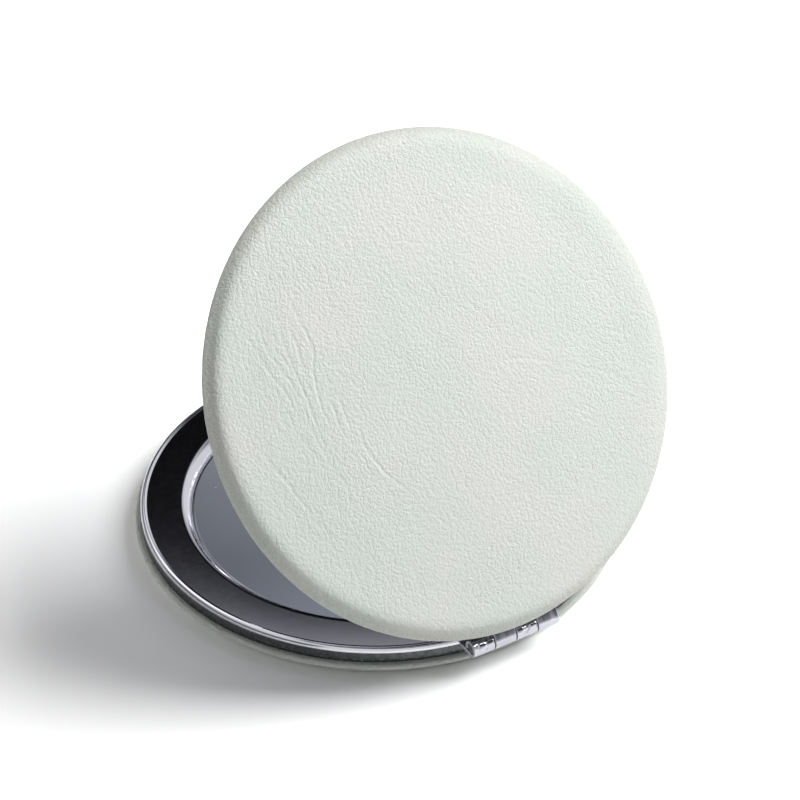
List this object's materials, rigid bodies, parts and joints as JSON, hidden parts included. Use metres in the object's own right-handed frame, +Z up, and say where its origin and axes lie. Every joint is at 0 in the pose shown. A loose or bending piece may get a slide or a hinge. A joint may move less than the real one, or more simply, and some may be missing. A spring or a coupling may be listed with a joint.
{
  "type": "compact mirror",
  "caption": "Round folding pocket mirror with two padded leather-covered halves, chromed frames and a rolled-knuckle hinge that opens flat.",
  "frame": {"origin": "middle of the flat face that the base rests on", "axes": "+Z up from the table, +Y towards the hinge, X along the hinge; at rest the lid stands open by 54 degrees"},
  "size_m": [0.07, 0.0732, 0.0641],
  "materials": {
    "cover_leather": "satin",
    "sponge": "matte",
    "board": "matte",
    "tape": "matte",
    "chrome_frame": "polished",
    "chrome_hinge": "polished",
    "mirror_glass": "polished",
    "magnet": "satin",
    "pin_steel": "satin"
  },
  "bodies": {
    "base": {"base_leather_cover": "cover_leather", "base_foam_pad": "sponge", "base_backing_board": "board", "base_bonding_tape": "tape", "base_frame": "chrome_frame", "base_mirror_tape": "tape", "base_mirror": "mirror_glass", "base_hinge_leaf": "chrome_hinge", "base_magnet": "magnet", "hinge_pin": "pin_steel"},
    "lid": {"lid_leather_cover": "cover_leather", "lid_foam_pad": "sponge", "lid_backing_board": "board", "lid_bonding_tape": "tape", "lid_frame": "chrome_frame", "lid_mirror_tape": "tape", "lid_mirror": "mirror_glass", "lid_hinge_leaf": "chrome_hinge", "lid_magnet": "magnet"}
  },
  "joints": [
    {"name": "lid_hinge", "type": "hinge", "parent": "base", "child": "lid", "pos_m": [0, 0.03595, 0.00485], "axis": [-1, 0, 0], "range_deg": [-54, 126]}
  ]
}
